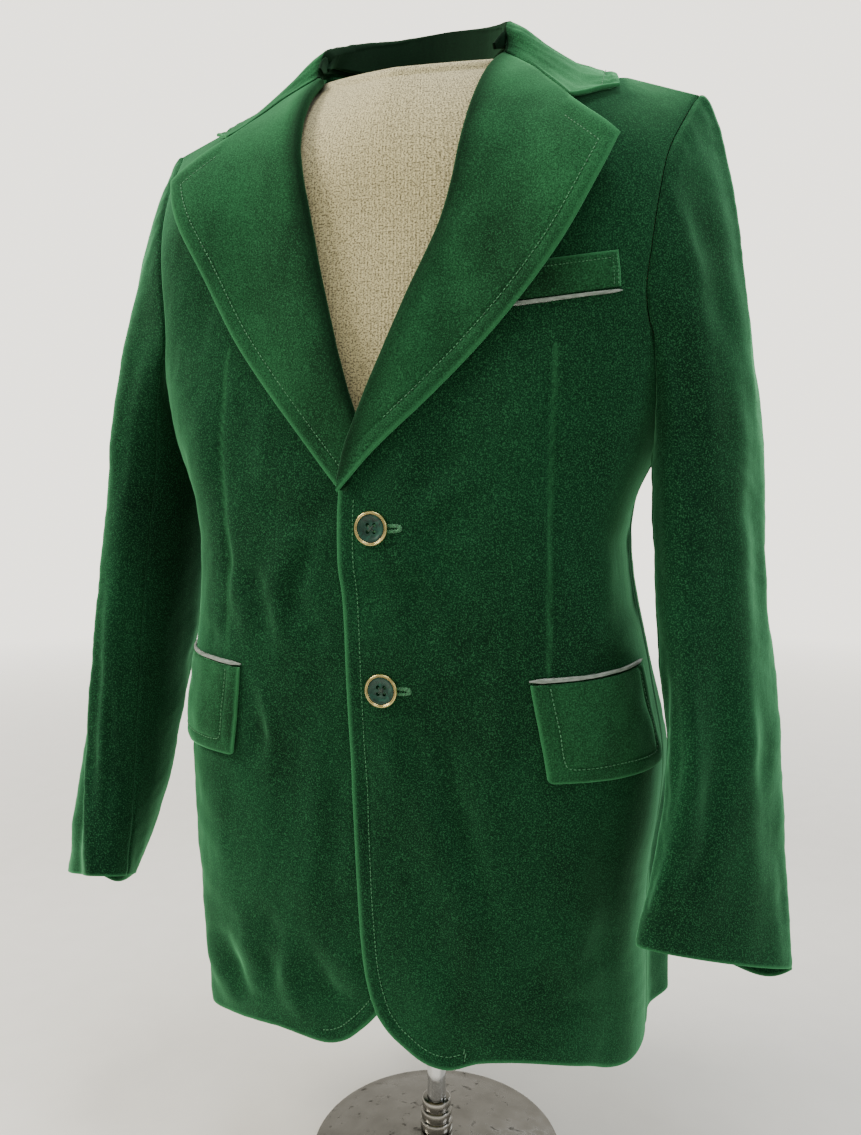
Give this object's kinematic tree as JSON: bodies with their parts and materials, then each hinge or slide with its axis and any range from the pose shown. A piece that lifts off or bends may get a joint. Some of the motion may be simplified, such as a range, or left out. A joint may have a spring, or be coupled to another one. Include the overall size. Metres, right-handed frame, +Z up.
{
  "type": "velvet sport coat on a limbless dress form and pedestal stand",
  "caption": "Notch-lapel velvet sport coat, buttoned at the waist, with flapped hip pockets and a chest welt, worn by a limbless jersey dress form on a round pedestal stand.",
  "frame": {"origin": "centre of the stand's base, on the floor under the pole", "axes": "+Z up along the pole; the wearer faces -Y and the wearer's left is +X"},
  "size_m": [0.6507, 0.2899, 1.0253],
  "materials": {
    "velvet": "short-pile cotton velvet, deep green, pile lighter where it is seen along",
    "velvet_back": "the same velvet, with the nap running down the back and under collar",
    "satin": "silver-grey satin piping",
    "linen": "heathered beige jersey over a padded form",
    "button": "polished dark green four-hole disc",
    "brass": "polished, slightly worn",
    "chrome": "polished tube",
    "nickel": "nickel plate with tarnish spots"
  },
  "bodies": {
    "root": {"front_left": "velvet", "front_right": "velvet", "back_left": "velvet_back", "back_right": "velvet_back", "lapel_left": "velvet", "lapel_right": "velvet", "collar_stand": "velvet_back", "collar_leaf": "velvet", "sleeve_left_top": "velvet", "sleeve_left_under": "velvet", "sleeve_right_top": "velvet", "sleeve_right_under": "velvet", "hip_flap_left": "velvet", "hip_flap_right": "velvet", "hip_piping_left": "satin", "hip_piping_right": "satin", "chest_welt": "velvet", "chest_piping": "satin", "button_top": "button", "button_bottom": "button", "button_top_rim": "brass", "button_bottom_rim": "brass", "dress_form": "linen", "stand_base": "nickel", "stand_ring": "nickel", "stand_pole": "chrome"}
  },
  "joints": []
}
